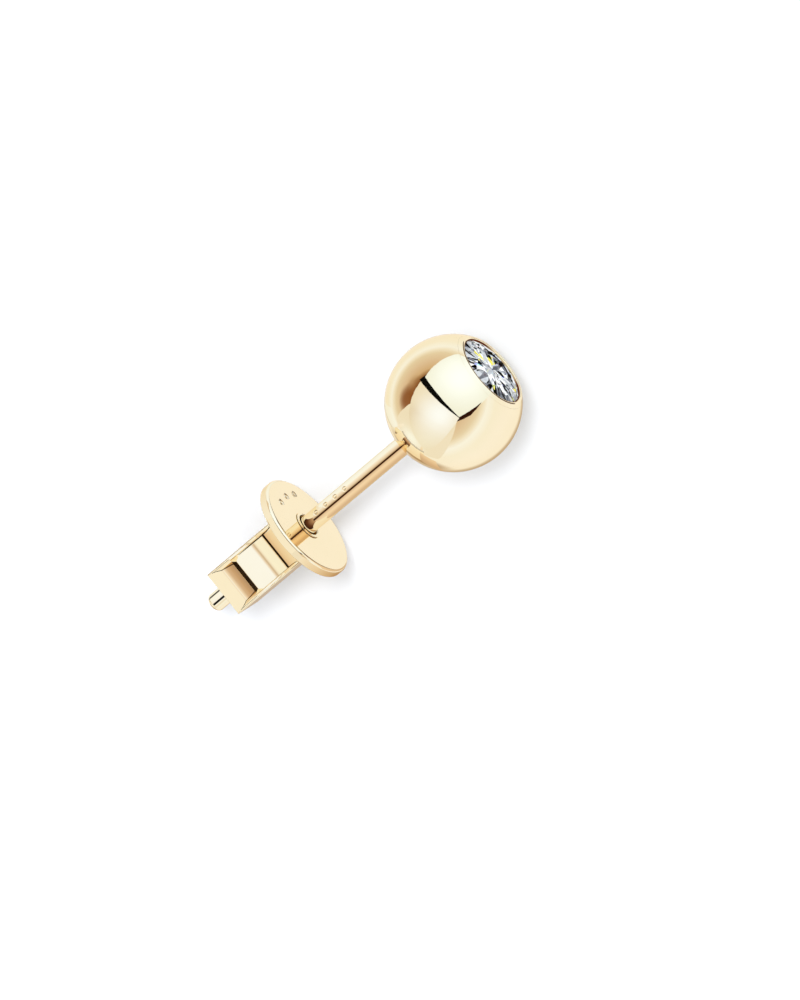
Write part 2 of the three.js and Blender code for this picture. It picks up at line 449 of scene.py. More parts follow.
@dataclass(frozen=True)
class PolishedGold:
    """Polished pale yellow gold: faint tone drift, fine polishing lines and softened edges."""

    name: str
    tone: tuple = (1.0, 0.865, 0.605)
    warm: tuple = (0.985, 0.845, 0.575)
    edge: tuple = (0.98, 0.9, 0.74)
    smooth: float = 0.025
    hazed: float = 0.07
    drift_per_m: float = 420.0
    haze_per_m: float = 966.0
    haze_range: tuple = (0.4, 0.75)
    lines_per_m: float = 2600.0
    lines_stretch: tuple = (0.35, 1.0, 1.6)
    line_depth_m: float = 2.0e-6

    def material(self) -> Material:
        """Build the finish."""
        n = Finish(self.name)
        drift = n.ramp(n.noise(self.drift_per_m, 3.0), *NOISE_MIDDLE)
        haze = n.noise(self.haze_per_m, 4.0)
        lines = n.noise(self.lines_per_m, 2.0, self.lines_stretch)
        bump = n.add("Bump", Strength=1.0, Distance=self.line_depth_m, Height=lines)
        return n.dressed(Base_Color=n.mix(drift, self.tone, self.warm), Metallic=1.0,
                         Roughness=n.ramp(haze, *self.haze_range, self.smooth, self.hazed),
                         Specular_Tint=(*self.edge, 1.0), Normal=bump.outputs["Normal"])


@dataclass(frozen=True)
class PaintedShadeGold:
    """Dark gold inside the grip, its near-black colour painted shade; rough and mottled."""

    name: str = "gold_painted_shade"
    light: tuple = (0.06, 0.034, 0.016)
    dark: tuple = (0.025, 0.013, 0.006)
    smooth: float = 0.45
    rough: float = 0.6
    mottle_per_m: float = 2500.0

    def material(self) -> Material:
        """Build the finish."""
        n = Finish(self.name)
        mottle = n.noise(self.mottle_per_m, 3.0)
        return n.dressed(Base_Color=n.mix(n.ramp(mottle, *NOISE_MIDDLE), self.dark, self.light),
                         Roughness=n.ramp(mottle, *NOISE_MOST, self.smooth, self.rough),
                         Metallic=1.0)


@dataclass(frozen=True)
class LipShadeGold:
    """Painted shade on the gold inside the lip: red-brown towards its two sides, paler between them.
    """

    name: str = "gold_lip_painted_shade"
    shaded: tuple = (0.16, 0.035, 0.006)
    paler: tuple = (0.85, 0.66, 0.36)
    low_m: float = 0.0006
    high_m: float = 0.0011
    smooth: float = 0.55
    rough: float = 0.7
    gloss: float = 0.1
    mottle_per_m: float = 1800.0

    def material(self) -> Material:
        """Build the finish."""
        n = Finish(self.name)
        apart = n.add("SeparateXYZ", n.add("TexCoord").outputs["Object"])
        side = n.add("Math", apart.outputs["Y"], operation="ABSOLUTE").outputs["Value"]
        mottle = n.noise(self.mottle_per_m, 3.0)
        return n.dressed(
            Base_Color=n.mix(n.ramp(side, self.low_m, self.high_m), self.paler, self.shaded),
            Roughness=n.ramp(mottle, *NOISE_MOST, self.smooth, self.rough),
            Specular_IOR_Level=self.gloss)


@dataclass(frozen=True)
class BrilliantFinish:
    """Cut diamond, whose corners carry painted light: the light that the facets send back, as base
    colour.
    """

    name: str = "diamond_brilliant"
    index: float = 1.5
    gloss: float = 0.0
    smooth: float = 0.012
    hazed: float = 0.035
    haze_per_m: float = 900.0
    haze_range: tuple = (0.4, 0.7)

    def material(self) -> Material:
        """Build the finish."""
        n = Finish(self.name)
        # The fire attribute is painted light: the stone's traced reflections and fire, and the lip's
        # painted shade, as base colour.
        fire = n.add("Attribute", attribute_name="fire").outputs["Color"]
        haze = n.noise(self.haze_per_m, 2.0)
        return n.dressed(Base_Color=fire, IOR=self.index, Specular_IOR_Level=self.gloss,
                         Roughness=n.ramp(haze, *self.haze_range, self.smooth, self.hazed))


# ---- ball, post and setting


@dataclass(frozen=True)
class PunchMarks:
    """A row of small plain ring punches on a surface, each a round groove."""

    places: tuple
    ring_r: float = 0.085
    groove: float = 0.026
    depth: float = 0.034

    def dent(self, u: Array, v: Array) -> Array:
        """Depth at surface distances u and v: a bell across each ring's groove."""
        away = (np.hypot(u - at_u, v - at_v) - self.ring_r for at_u, at_v in self.places)
        return self.depth * sum(np.exp(-((off / self.groove) ** 2)) for off in away)


@dataclass
class BallAndPost:
    """The hollow ball with its soldered post."""

    ball_r: float = 3.0
    wall: float = 0.35
    opening_r: float = 1.98
    edge: float = 0.002
    post_r: float = 0.425
    reach: float = 15.0
    dome: float = 0.28
    solder_r: float = 0.08
    marks: int = 4
    mark_first: float = -6.4
    mark_step: float = -0.59
    mark_turn: float = 1.12
    mark_reach: float = 0.25
    mark_zone: float = 0.3
    mark_rows: int = 116
    cavity_steps: int = 24
    skin_steps: int = 84
    tip_steps: int = 12

    def profile(self) -> tuple:
        """From the cavity's back, round the opening, over the ball and along the post."""
        inner_r = self.ball_r - self.wall
        open_in = math.degrees(math.asin(self.opening_r / inner_r))
        open_out = math.degrees(math.asin(self.opening_r / self.ball_r))
        root = 180.0 - math.degrees(math.asin((self.post_r + self.solder_r) / self.ball_r))
        cavity = arc(inner_r, 180.0, open_in, self.cavity_steps)
        skin = arc(self.ball_r, open_out, root, self.skin_steps)
        last = self.mark_first + (self.marks - 1) * self.mark_step
        marked = np.linspace(self.mark_first + self.mark_reach, last - self.mark_reach,
                             self.mark_rows)
        shaft = np.column_stack([marked, np.full_like(marked, self.post_r)])
        tip = arc(1.0, 90.0, 180.0, self.tip_steps) * [self.dome, self.post_r]
        tip += [self.dome - self.reach, 0.0]
        corners = np.vstack([cavity, skin, [[skin[-1, 0] - self.solder_r, self.post_r]], shaft, tip])
        radii = np.zeros(len(corners))
        radii[len(cavity)] = self.edge
        radii[len(cavity) + len(skin)] = self.solder_r
        return rounded(corners, radii, closed=False)

    def shell(self) -> Shell:
        """The turned solid with its row of ring punches on the post."""
        marks = PunchMarks(tuple((self.mark_first + k * self.mark_step, 0.0)
                                 for k in range(self.marks)))

        def dent(x: Array, r: Array, t: Array) -> Array:
            """The punches lie on the post only, where the radius is its own."""
            on_post = ((x < self.mark_first + self.mark_zone)
                       & (x > self.mark_first + self.marks * self.mark_step))
            round_it = (t - self.mark_turn + math.pi) % TAU - math.pi
            return marks.dent(x, r * round_it) * on_post

        return turned(*self.profile(), closed=False, dent=dent)


@dataclass
class SettingRing:
    """The setting ring: a lip that carries on the ball's curve, a seat and a wall."""

    ball_r: float = 3.0
    outer_r: float = 1.979
    edge: float = 0.002
    bore_r: float = 1.4
    inner_end: float = 1.55
    seat: tuple = ((1.85, 1.4), (1.915, 1.46), (2.19, 1.775), (2.265, 1.775))
    lip_r: float = 1.695
    lip_from: float = 2.273
    crown_r: float = 1.8
    lip_edge: tuple = (0.035, 0.005)
    liner_from: float = 2.27
    liner_in: float = 0.006
    liner_out: float = 0.004
    liner_below: float = 0.03
    fillets: tuple = (0.03, 0.02, 0.02, 0.01, 0.01, 0.012, 0.02, 0.03)

    def shell(self) -> Shell:
        """The turned ring, its top a piece of the ball's sphere."""
        over = np.linspace(self.crown_r, self.outer_r, 8)
        sphere = np.column_stack([np.sqrt(self.ball_r ** 2 - over ** 2), over])
        top, (down, near) = sphere[0, 0], self.lip_edge
        corners = np.array([
            [self.inner_end, self.bore_r], *self.seat, [self.lip_from, self.lip_r],
            [top - down, self.lip_r], [top - near, self.lip_r + down],
            *sphere, [self.inner_end, self.outer_r]])
        radii = np.zeros(len(corners))
        radii[:len(self.fillets)] = self.fillets
        radii[-2:] = [self.edge, self.fillets[0]]
        return turned(*rounded(corners, radii))

    def liner(self) -> Shell:
        """The lip's inner face: a thin shell whose finish paints the shade inside the lip."""
        low, top = self.liner_from, math.sqrt(self.ball_r ** 2 - self.crown_r ** 2)
        top -= self.liner_below
        inner, outer = self.lip_r - self.liner_in, self.lip_r + self.liner_out
        corners = [[low, inner], [low, outer], [top, outer], [top, inner]]
        return turned(*rounded(corners, [self.edge] * 4))


@dataclass
class PlayOfLight:
    """The light that a cut stone sends back, followed ray by ray through its own facets.

    A ray comes in at a lean from the stone's axis towards its upper side, bends at its facet by
    Snell's law and runs on inside, each time to the nearest of the facets' planes or the girdle's
    cylinder. There the share that Fresnel's law lets out picks up the level of the surround in its
    direction, and the rest is thrown back. Three colours have three indices of refraction, which
    gives the fire.

    The surround is a grid of zones, by angle from the axis, and sectors round it: a dark middle,
    where the viewer is, then a mix of white, pale, grey and dark fields, some of them placed.
    """

    normals: Array
    offsets: Array
    girdle_r: float
    indices: tuple = (2.411, 2.417, 2.426)
    bounces: int = 8
    seed: int = 6
    sectors: int = 14
    first_sector_deg: float = 183.0
    zones: tuple = (7.0, 18.0, 30.0, 44.0, 58.0, 75.0, 90.0)
    viewer: tuple = (0.01, 0.01, 0.012)
    leak: tuple = (0.07, 0.055, 0.045)
    shares: tuple = (0.17, 0.29, 0.56)
    fields: tuple = ((0.0, 0.0, 0.005), (0.42, 0.43, 0.46), (0.74, 0.76, 0.78), (1.0, 1.01, 1.01))
    flashes: tuple = ((2, 12, (1.0, 0.95, 0.36)), (2, 8, (0.0, 0.0, 0.01)),
                      (1, 11, (0.0, 0.0, 0.005)), (5, 10, 0.95), (1, 5, 0.95), (1, 6, 0.95),
                      (1, 4, 0.95))
    rest: float = 0.3
    lean_deg: float = 28.0
    contrast: float = 2.2

    def surround(self) -> Array:
        """The surround's colours, as (zones + 1, sectors, 3)."""
        draw = np.random.RandomState(self.seed).rand(len(self.zones) + 1, self.sectors)
        levels = np.array(self.fields)[np.searchsorted(self.shares, draw)]
        levels[0], levels[-1] = self.viewer, self.leak
        for zone, sector, colour in self.flashes:
            levels[zone, sector] = colour
        return levels

    def fields_of(self, out: Array) -> tuple:
        """The surround's zone and sector that each outward direction meets."""
        polar = np.degrees(np.arccos(np.clip(out[:, 0], -1.0, 1.0)))
        around = np.degrees(np.arctan2(out[:, 2], out[:, 1])) + self.first_sector_deg
        sector = np.floor(around / 360.0 * self.sectors).astype(int) % self.sectors
        return np.searchsorted(self.zones, polar), sector

    @staticmethod
    def bent(ray: Array, normal: Array, ratio: float) -> Array:
        """Snell's law: rays bent at a surface whose normal faces them."""
        cos = -(ray * normal).sum(1)
        through = np.sqrt(np.maximum(1.0 - ratio ** 2 * (1.0 - cos ** 2), 0.0))
        return ratio * ray + (ratio * cos - through)[:, None] * normal

    def seen(self, points: Array, normal: Array) -> Array:
        """Follow the light of each colour to points on one crown facet.

        Args:
            points: (n, 3) places on the facet.
            normal: the facet's outward normal.

        Returns:
            (n, 3) linear colours.
        """
        lean = math.radians(self.lean_deg)
        colours = []
        for index, levels in zip(self.indices, np.moveaxis(self.surround(), 2, 0)):
            ray = np.array([[-math.cos(lean), 0.0, -math.sin(lean)]])
            ray = self.bent(ray, normal, 1.0 / index)
            place, tone, weight = points, 0.0, 1.0
            for _ in range(self.bounces):
                place, facing = self.step(place, ray)
                cos = (ray * facing).sum(1)
                sin2 = index ** 2 * (1.0 - cos ** 2)
                cos_out = np.sqrt(np.maximum(1.0 - sin2, 0.0))
                upright = (index * cos - cos_out) / (index * cos + cos_out)
                level = (index * cos_out - cos) / (index * cos_out + cos)
                kept = np.where(sin2 >= 1.0, 1.0, (upright ** 2 + level ** 2) / 2.0)
                met = levels[self.fields_of(self.bent(ray, -facing, index))]
                tone = tone + weight * (1.0 - kept) * met
                weight = weight * kept
                ray = ray - 2.0 * cos[:, None] * facing
            colours.append(tone + weight * self.rest)
        return np.stack(colours, axis=1) ** self.contrast

    def step(self, place: Array, ray: Array) -> tuple:
        """Run each ray on to the next wall.

        Args:
            place: (n, 3) where the rays start.
            ray: (n, 3) their directions.

        Returns:
            (places on the walls, the walls' outward normals).
        """
        tiny = 1e-9
        toward = ray @ self.normals.T
        gap = self.offsets - place @ self.normals.T
        reach = np.where(toward > tiny, gap / np.maximum(toward, tiny), np.inf)
        reach[reach < 100 * tiny] = np.inf
        wall, far = reach.argmin(1), reach.min(1)
        a = np.maximum((ray[:, 1:] ** 2).sum(1), 1e-12)
        b = (place[:, 1:] * ray[:, 1:]).sum(1)
        c = (place[:, 1:] ** 2).sum(1) - self.girdle_r ** 2
        girdle = (-b + np.sqrt(np.maximum(b * b - a * c, 0.0))) / a
        on_girdle = (girdle > 1000 * tiny) & (girdle < far)
        place = place + ray * np.where(on_girdle, girdle, far)[:, None]
        round_it = place * [0.0, 1.0, 1.0]
        round_it /= np.maximum(np.linalg.norm(round_it, axis=1, keepdims=True), tiny)
        return place, np.where(on_girdle[:, None], round_it, self.normals[wall])


def spot(along: float, radius: float, angle: float) -> Array:
    """The point at a distance along the stud's axis, a radius and an angle."""
    return np.array([along, radius * math.cos(angle), radius * math.sin(angle)])


@dataclass
class Brilliant:
    """The round brilliant: facets cut flat, its girdle a true circle with scalloped edges.

    The crown's facets are finely divided, without leaving their planes, so that each small corner
    holds painted light: the colour of the light that the stone sends back there. Under the ring's
    lip that colour turns to a painted shade of the lip.
    """

    radius: float = 1.75
    table_r: float = 1.05
    crown_deg: float = 22.0
    pavilion_deg: float = 40.75
    girdle_top: float = 2.26
    girdle_low: float = 2.2
    girdle_sag: float = 0.2
    star: float = 0.5
    lower: float = 0.77
    cells: int = 44
    unseen: float = 0.35
    lip_shade: tuple = (0.2, 0.09, 0.035)
    lip_from: float = 1.6
    lip_to: float = 1.7

    @property
    def middle(self) -> Array:
        """A point well inside the stone."""
        return np.array([self.girdle_low, 0.0, 0.0])

    def edge_arc(self, corners: list, start: float, end: float) -> Array:
        """The girdle arc on the plane through three corners, from start to end angle."""
        inner = corners[0]
        normal = np.cross(corners[1] - inner, corners[2] - inner)
        angle = np.linspace(start, end, self.cells + 1)
        y, z = self.radius * np.cos(angle), self.radius * np.sin(angle)
        x = inner[0] - (normal[1] * (y - inner[1]) + normal[2] * (z - inner[2])) / normal[0]
        return np.column_stack([x, y, z])

    def straight(self, start: Array, end: Array) -> Array:
        """A straight edge, evenly divided."""
        return start + (end - start) * np.linspace(0.0, 1.0, self.cells + 1)[:, None]

    def cut(self) -> tuple:
        """Cut the stone.

        Returns:
            (crown, rest): crown lists (apex, edge) fans, each in one facet's plane; rest lists
            the corners of the girdle's and the pavilion's faces.
        """
        eighth = math.pi / 4
        crown, pavilion = (math.tan(math.radians(d)) for d in (self.crown_deg, self.pavilion_deg))
        lean = math.cos(eighth / 2)
        star_r = self.table_r * lean + self.star * (self.radius - self.table_r * lean)
        half_r = self.radius * (1 - self.lower)
        table_x = self.girdle_top + (self.radius - self.table_r) * crown
        star_x = self.girdle_top + (self.radius - star_r * lean) * crown
        half_x = self.girdle_low - (self.radius - half_r * lean) * pavilion
        culet = spot(self.girdle_low - self.radius * pavilion, 0.0, 0.0)
        fans, rest = [], []
        for k in range(8):
            here, mid, there = k * eighth, (k + 0.5) * eighth, (k + 1) * eighth
            table = [spot(table_x, self.table_r, a) for a in (here, there)]
            star, last_star = (spot(star_x, star_r, a) for a in (mid, mid - eighth))
            half, last_half = (spot(half_x, half_r, a) for a in (mid, mid - eighth))
            top, low = ([spot(x, self.radius, a) for a in (here, mid, there)]
                        for x in (self.girdle_top, self.girdle_low))
            fans += [(spot(table_x, 0.0, 0.0), self.straight(*table)),
                     (star, self.straight(*table)),
                     (table[0], self.straight(star, top[0])),
                     (table[0], self.straight(last_star, top[0]))]
            rest.append(np.array([culet, last_half, low[0], half]))
            for end, span in ((0, (here, mid)), (2, (mid, there))):
                upper = self.edge_arc([star, top[end], top[1]], *span)
                under = self.edge_arc([half, low[end], low[1]], *span)
                fans.append((star, upper))
                rest.append(np.vstack([half, under]))
                rest += list(np.stack([under[:-1], under[1:], upper[1:], upper[:-1]], axis=1))
        return fans, rest

    def fan(self, apex: Array, edge: Array) -> tuple:
        """Divide a fan into small triangles.

        Row i of the grid lies at the share i/n of the way from the apex to the edge, and its
        point j at the share j/i along the edge.

        Args:
            apex: the fan's corner.
            edge: (n + 1, 3) points of the edge facing it.

        Returns:
            (points, faces).
        """
        n = self.cells
        row, column = np.tril_indices(n + 1)
        along = column / np.maximum(row, 1) * n
        base = np.column_stack([np.interp(along, np.arange(n + 1), part) for part in edge.T])
        i, j = np.tril_indices(n)
        here, below = i * (i + 1) // 2 + j, (i + 1) * (i + 2) // 2 + j
        up = np.stack([here, below, below + 1], axis=1)
        down = np.stack([here, below + 1, here + 1], axis=1)[j < i]
        return apex + (base - apex) * (row / n)[:, None], np.vstack([up, down])

    def wall(self, a: Array, b: Array, c: Array) -> Array:
        """The outward unit normal of three corners, and its offset."""
        normal = np.cross(b - a, c - a)
        normal *= np.sign(normal @ (a - self.middle)) / np.linalg.norm(normal)
        return np.append(normal, normal @ a)

    def coloured(self, play: PlayOfLight, spots: Array, normal: Array) -> Array:
        """The stone's painted light at spots on a facet, fading by s s (3 - 2 s) to the lip's
        painted shade.
        """
        shade = play.seen(spots, normal)
        out = np.hypot(spots[:, 1], spots[:, 2])
        near = np.clip((out - self.lip_from) / (self.lip_to - self.lip_from), 0.0, 1.0)[:, None]
        return shade + (np.array(self.lip_shade) - shade) * near * near * (3 - 2 * near)

    def build(self, workshop: Workshop, material: Material) -> None:
        """Make the stone: weld its facets into one flat-shaded piece with corners coloured by
        painted light.

        Args:
            workshop: where it is made.
            material: the stone's finish.
        """
        fans, rest = self.cut()
        crown = np.array([self.wall(apex, edge[0], edge[-1]) for apex, edge in fans])
        below = np.array([self.wall(face[0], face[1], face[-1]) for face in rest
                          if face[:, 0].min() < self.girdle_low - self.girdle_sag])
        planes = np.unique(np.round(np.vstack([crown, below]), 9), axis=0)
        play = PlayOfLight(planes[:, :3], planes[:, 3], self.radius)
        points, corners, colours, count = [], [], [], 0
        for (apex, edge), wall in zip(fans, crown):
            spots, faces = self.fan(apex, edge)
            if np.cross(edge[0] - apex, edge[-1] - apex) @ wall[:3] < 0:
                faces = faces[:, ::-1]
            points.append(spots)
            corners += (faces + count).tolist()
            colours.append(self.coloured(play, spots, wall[:3])[faces.ravel()])
            count += len(spots)
        for face in rest:
            normal = np.cross(face[1] - face[0], face[-1] - face[0])
            points.append(face if normal @ (face.mean(0) - self.middle) >= 0 else face[::-1])
            corners.append(list(range(count, count + len(face))))
            colours.append(np.full((len(face), 3), self.unseen))
            count += len(face)
        placed, colours = workshop.frame.place(np.vstack(points)), np.vstack(colours)
        keys = np.round(placed / WELD_M).astype(np.int64)
        _, first, index = np.unique(keys, axis=0, return_index=True, return_inverse=True)
        index = index.ravel()
        mesh = bpy.data.meshes.new("diamond_brilliant")
        mesh.from_pydata(placed[first], [], [index[face].tolist() for face in corners])
        mesh.update()
        # Each corner keeps its painted light: traced reflections and fire, or the lip's painted
        # shade.
        layer = mesh.attributes.new("fire", "FLOAT_COLOR", "CORNER")
        layer.data.foreach_set("color", np.column_stack([colours, np.ones(len(colours))]).ravel())
        workshop.fasten("diamond_brilliant", mesh, Body.STUD, Slot.STONE, material, "diamond")


# ---- clutch


@dataclass
class ClutchDisc:
    """The disc that bears on the earlobe: flat, with softly rounded edges."""

    front: float = -9.0
    thick: float = 0.47
    radius: float = 2.5
    hole_r: float = 0.64
    hole_round: float = 0.02
    front_round: float = 0.14
    back_round: float = 0.1
    face_from: float = 0.75
    face_to: float = 2.25
    face_rows: int = 76
    marked_from: float = 0.8
    marked_to: float = 2.2
    punches: tuple = ((-0.92, 1.48), (-0.12, 1.58), (0.68, 1.48))

    def shell(self) -> Shell:
        """The turned disc with three ring punches near its rim."""
        back = self.front - self.thick
        face = np.linspace(self.face_to, self.face_from, self.face_rows)
        corners = np.array([[self.front, self.hole_r], [back, self.hole_r], [back, self.radius],
                            [self.front, self.radius], *([self.front, r] for r in face)])
        radii = np.zeros(len(corners))
        radii[:4] = [self.hole_round, self.hole_round, self.back_round, self.front_round]
        marks = PunchMarks(self.punches, ring_r=0.12, groove=0.03)

        def dent(x: Array, r: Array, t: Array) -> Array:
            """The punches lie on the front face only."""
            inside = (r > self.marked_from) & (r < self.marked_to) & (x > self.front - 0.01)
            return marks.dent(r * np.sin(t), r * np.cos(t)) * inside

        return turned(*rounded(corners, radii, steps=8), dent=dent, columns=2 * TURNS)


@dataclass
class ClutchGrip:
    """The box-shaped spring grip with its curled leaves, its neck and its rolled eyelet.

    Its leaves are outlines of [distance behind the disc, height over the post's axis].
    """

    front: float = -9.0
    back: float = -9.47
    seat: float = 0.02
    half_w: float = 1.1
    half_d: float = 1.2
    length: float = 4.26
    base_t: float = 0.2
    base_power: float = 14.0
    wall_t: float = 0.17
    draft: float = 0.19
    waist: float = 0.6
    leaf_t: float = 0.16
    leaf_clear: float = 0.45
    curl_run: float = 0.94
    curl_drop: float = 0.506
    curl_bend: float = 0.328
    land: float = 0.05
    end_rim: float = 0.142
    slot_w: float = 0.168
    bore_r: float = 0.43
    neck_r: float = 0.62
    neck_bore_r: float = 0.53
    eyelet_r: float = 0.69
    eyelet_rise: float = 0.05
    tuck: float = 0.01
    bite: float = 0.06
    end_gap: float = 0.004
    side_gap: float = 0.005
    base_round: float = 0.02
    neck_rounds: tuple = (0.01, 0.05, 0.018, 0.008, 0.01, 0.01)
    side_round: float = 0.04
    leaf_round: float = 0.035
    fine: float = 0.03
    bend: float = 0.1
    slope: tuple = (0.12, 0.1)
    cheek_slope: tuple = (0.19, 0.165)
    cheek_land: tuple = (0.08, 0.03)

    @property
    def slot_at(self) -> float:
        """Where the flat leaf ends, behind the disc."""
        return self.length - self.end_rim - self.curl_run - self.slot_w

    @property
    def reach(self) -> float:
        """How far a leaf runs to each side, into its wall."""
        return self.half_w - self.wall_t + self.bite

    @property
    def cheek_line(self) -> list:
        """The slope of a wall beside the curled leaf: its [width, height], from the land down."""
        (slope_in, slope_down), (land_in, land_down) = self.cheek_slope, self.cheek_land
        return [[self.half_w - land_in, self.half_d - land_down],
                [self.half_w - self.land - slope_in, self.half_d - slope_down],
                [self.half_w - self.wall_t - self.draft, self.waist]]

    def side(self, upper: list, low: float, high: float) -> Shell:
        """A strip of side wall whose section is an upper half and its mirror image."""
        corners = np.vstack([upper, np.array(upper[::-1]) * [1.0, -1.0]])
        radii = np.full(len(corners), self.bend)
        radii[[0, 1, -2, -1]] = self.side_round
        return pressed(*rounded(corners, radii), Axis.X, low, high)

    def walls(self) -> list:
        """Make one side's wall, and its thicker part beside the curled leaf.

        The wall has a narrow land, a slope inwards and an upright inner face. The thicker part
        leans in to the waist.

        Returns:
            Both shells.
        """
        inner, end = self.half_w - self.land, self.back - self.length
        wall = [[self.half_w, self.half_d], [inner, self.half_d],
                [inner - self.slope[0], self.half_d - self.slope[1]],
                [self.half_w - self.wall_t - self.tuck, self.waist]]
        cheek = [[self.half_w - self.bite, self.half_d - self.cheek_land[1]], *self.cheek_line]
        return [self.side(wall, end, self.back - self.seat),
                self.side(cheek, end + self.tuck, self.back - self.slot_at + 2 * self.tuck)]

    def curl(self, share: Array) -> Array:
        """The curled leaf's outer face: sunk by its drop times (bend t + (1 - bend) t^2) at t."""
        sunk = self.curl_drop * (self.curl_bend * share + (1.0 - self.curl_bend) * share ** 2)
        along = self.length - self.end_rim - self.curl_run * share
        return np.column_stack([along, self.half_d - sunk])

    def curled_leaf(self) -> Shell:
        """The leaf that curls in from the open end."""
        outer = self.curl(np.linspace(0.0, 1.0, 25))
        inner = outer[:-4] - [0.0, self.leaf_t]
        end, tip = self.length - self.end_gap, len(outer)
        outline = np.vstack([
            [end, self.half_d], outer, [outer[-1, 0], self.leaf_clear],
            [inner[-1, 0], self.leaf_clear], inner[::-1], [end, self.half_d - self.leaf_t]])
        radii = np.zeros(len(outline))
        radii[[0, tip, tip + 1, tip + 2, -1]] = self.leaf_round
        return self.leaf(outline, radii, self.half_w - self.land - self.side_gap)

    def leaves(self) -> list:
        """One side's leaves: curled, flat along the post, and the shoulder beside the disc."""
        start, slot, fine = self.seat + 0.02, self.slot_at, self.fine
        flat = [[1.24, 0.73], [1.6, 0.7], [2.2, 0.68], [slot, 0.66], [slot, 0.5], [1.24, 0.5]]
        shoulder = [[start, self.half_d], [0.44, self.half_d], [1.1, 0.82], [1.1, 0.6],
                    [0.38, 0.93], [start, 0.93]]
        return [self.curled_leaf(),
                self.leaf(flat, [fine, 0.4, 0.4, self.leaf_round, fine, fine], self.reach),
                self.leaf(shoulder, [fine, self.bend, fine] * 2, self.reach)]

    def shade_sheet(self) -> Shell:
        """A dark sheet under the leaves, seen only through their gaps: painted shade, put where the
        gaps hold only shade.
        """
        outline = [[0.85, 0.49], [3.35, 0.49], [3.35, 0.455], [0.85, 0.455]]
        return self.leaf(outline, [0.01] * 4, self.reach - 0.25)

    def leaf(self, outline: list | Array, radii: list | Array, reach: float) -> Shell:
        """Press a leaf's outline between the walls.

        Args:
            outline: (n, 2) of [distance behind the disc, height].
            radii: (n,) fillet radii.
            reach: how far it runs to each side.

        Returns:
            The leaf.
        """
        corners = np.asarray(outline) * [-1.0, 1.0] + [self.back, 0.0]
        edge = 0.4 * min(0.05, np.ptp(corners[:, 1]))
        return pressed(*rounded(corners, radii), Axis.Y, -reach, reach, edge=edge)

    def crease_shade(self, path: Array, radii: Array) -> Shell:
        """Lay a thin bead along a path, whose dark finish paints the shade in the crease between a
        leaf and a wall.

        Round each point of the path, at angle t, lies its radius times (cos t, sin t) across the
        stud.

        Args:
            path: (n, 3) of [distance behind the disc, y, z], the farthest first.
            radii: (n,) radii of the bead.

        Returns:
            The closed bead.
        """
        t = np.linspace(0.0, TAU, CREASE_SHADE_SIDES, endpoint=False)
        ring = np.stack([0 * t, np.cos(t), np.sin(t)], axis=1)
        centre = path * [-1.0, 1.0, 1.0] + [self.back, 0.0, 0.0]
        pos = centre[:, None] + ring * radii[:, None, None]
        return Shell.woven(pos, np.tile(ring, (len(path), 1, 1)))

    def crease_shades(self) -> list:
        """The painted crease shade of one side: beads along both edges of the curled leaf, and of
        the leaf along the post.
        """
        share = np.linspace(0.1, 1.0, 19)
        along, high = self.curl(share).T
        out = np.interp(high, *np.array(self.cheek_line[::-1])[:, ::-1].T)
        curl = np.column_stack([along, out - 0.006, high + 0.004])
        straight = np.array([[2.7, 0.91, 0.69], [2.2, 0.91, 0.69], [1.6, 0.91, 0.71],
                             [1.24, 0.91, 0.74], [1.1, 0.91, 0.83], [0.8, 0.915, 1.0],
                             [0.5, 0.95, 1.17]])
        thick = np.array([0.004, 0.01, 0.018, 0.022, 0.024, 0.024, 0.016])
        other = np.array([1.0, -1.0, 1.0])
        # The beads on +Y are thicker than those on -Y: more painted shade on that side.
        beads = ((curl, 0.006 + 0.012 * share), (curl * other, 0.004 + 0.01 * share),
                 (straight, thick), (straight * other, thick * 0.5))
        return [self.crease_shade(path, radii) for path, radii in beads]

    def base(self) -> Shell:
        """The base plate: a rounded rectangle round the bore.

        At angle t its outer edge lies at the radius of a superellipse, 1 over the sum of
        (|cos t| / half width)^p and (|sin t| / half depth)^p to the power 1/p.
        """
        t = np.linspace(0.0, TAU, 144, endpoint=False)
        cos, sin, e, p = np.cos(t), np.sin(t), self.base_round, self.base_power
        reach = (np.abs(cos / (self.half_w - self.tuck)) ** p
                 + np.abs(sin / (self.half_d - self.tuck)) ** p) ** (-1 / p)
        front = self.back - self.seat
        rear = front - self.base_t
        # Each row: x, share of the way from bore to edge, inset, and the normal's two parts.
        section = np.array([
            [front, 1, -e, 1, 1], [front - e, 1, 0, 0, 1], [rear + e, 1, 0, 0, 1],
            [rear, 1, -e, -1, 1], [rear, 0, e, -1, -1], [rear + e, 0, 0, 0, -1],
            [front - e, 0, 0, 0, -1], [front, 0, e, 1, -1]], float)
        x, share, inset, lean_x, lean_r = section.T[:, :, None]
        radius = self.bore_r + (reach - self.bore_r) * share + inset
        flat, size = 0 * radius, np.hypot(lean_x, lean_r)
        pos = np.stack([x + flat, radius * cos, radius * sin], axis=2)
        nrm = np.stack([lean_x + flat, lean_r * cos, lean_r * sin], axis=2) / size[:, :, None]
        return Shell.woven(pos, nrm, ring=True)

    def neck(self) -> Shell:
        """The neck and its eyelet, rolled over the disc's front."""
        front, seat = self.front + self.eyelet_rise, self.front + self.seat
        end = self.back - self.seat - self.base_t / 2
        corners = [[end, self.neck_bore_r], [front, self.neck_bore_r], [front, self.eyelet_r],
                   [seat, self.eyelet_r], [seat, self.neck_r], [end, self.neck_r]]
        return turned(*rounded(corners, self.neck_rounds))

    def shells(self) -> list:
        """All of the grip's shells."""
        one_side = self.walls() + self.leaves()
        return one_side + [shell.half_turned() for shell in one_side] + [self.base(), self.neck()]


# ---- studio


